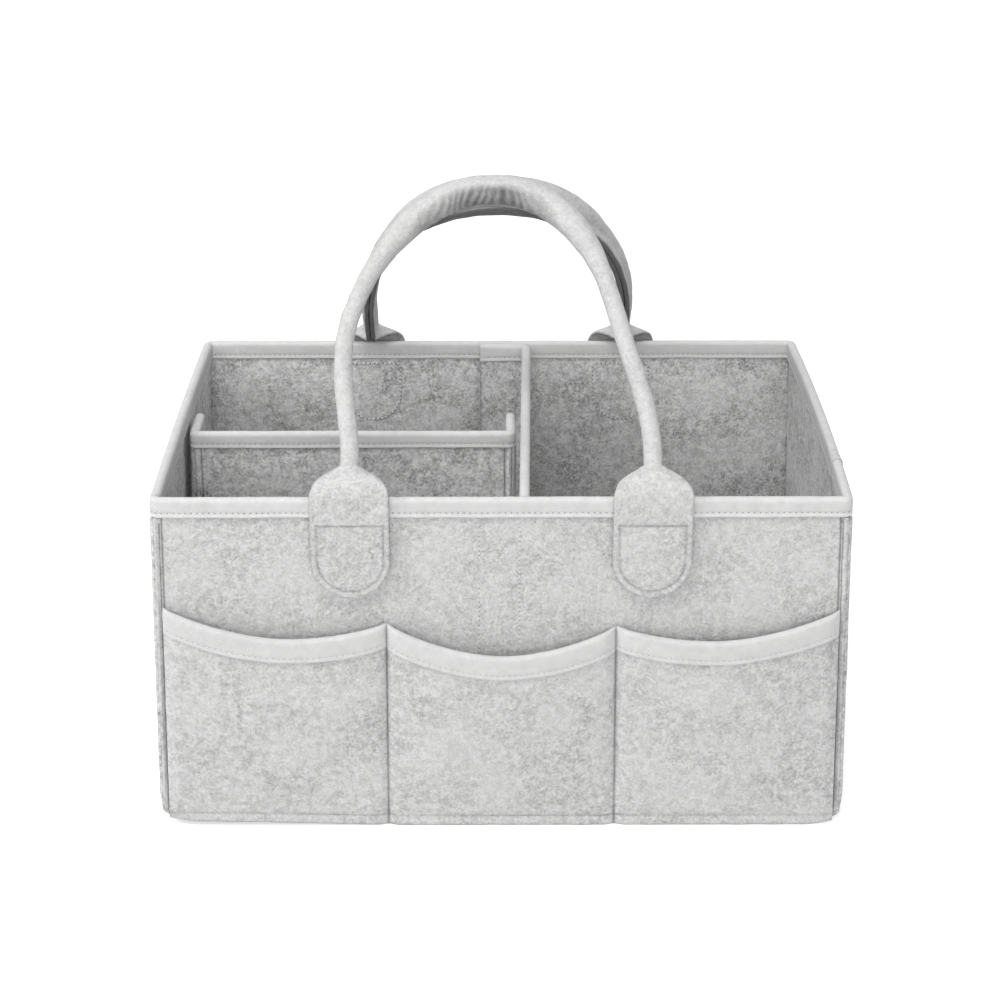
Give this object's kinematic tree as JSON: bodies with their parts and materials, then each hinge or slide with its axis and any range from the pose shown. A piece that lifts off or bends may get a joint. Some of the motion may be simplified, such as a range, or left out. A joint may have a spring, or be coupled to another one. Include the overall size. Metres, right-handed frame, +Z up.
{
  "type": "diaper caddy",
  "caption": "Open felt storage caddy with taped edges, scalloped front pockets, a sewn divider, a removable divider and soft rolled carrying handles.",
  "frame": {"origin": "on the ground, in the middle of the whole outline seen from above", "axes": "+Z up, -Y towards somebody facing the pockets, +X to the right of that person, along the caddy's length"},
  "size_m": [0.39, 0.2818, 0.3499],
  "materials": {
    "felt": "matte",
    "tape": "matte",
    "filling": "matte",
    "hook_strip": "matte"
  },
  "bodies": {
    "caddy_box": {"front_panel": "felt", "right_panel": "felt", "rear_panel": "felt", "left_panel": "felt", "base_panel": "felt", "rim_binding": "tape", "left_pocket_panel": "felt", "middle_pocket_panel": "felt", "right_pocket_panel": "felt", "front_pocket_binding": "tape", "centre_divider": "felt", "centre_divider_binding": "tape", "front_left_tab_patch": "felt", "front_right_tab_patch": "felt", "rear_left_tab_patch": "felt", "rear_right_tab_patch": "felt"},
    "front_handle": {"front_handle_cover": "felt", "front_handle_core": "filling"},
    "rear_handle": {"rear_handle_cover": "felt", "rear_handle_core": "filling"},
    "insert": {"insert_panel": "felt", "insert_left_flap": "felt", "insert_right_flap": "felt", "insert_binding": "tape", "insert_left_hook_strip": "hook_strip", "insert_right_hook_strip": "hook_strip"}
  },
  "joints": [
    {"name": "front_handle_swing", "type": "hinge", "parent": "caddy_box", "child": "front_handle", "pos_m": [0, -0.13065, 0.186], "axis": [1, 0, 0], "range_deg": [0, 175]},
    {"name": "rear_handle_swing", "type": "hinge", "parent": "caddy_box", "child": "rear_handle", "pos_m": [0, 0.14095, 0.186], "axis": [-1, 0, 0], "range_deg": [0, 175]},
    {"name": "insert_lift", "type": "slide", "parent": "caddy_box", "child": "insert", "axis": [0, 0, 1], "range_m": [0, 0.105]}
  ]
}
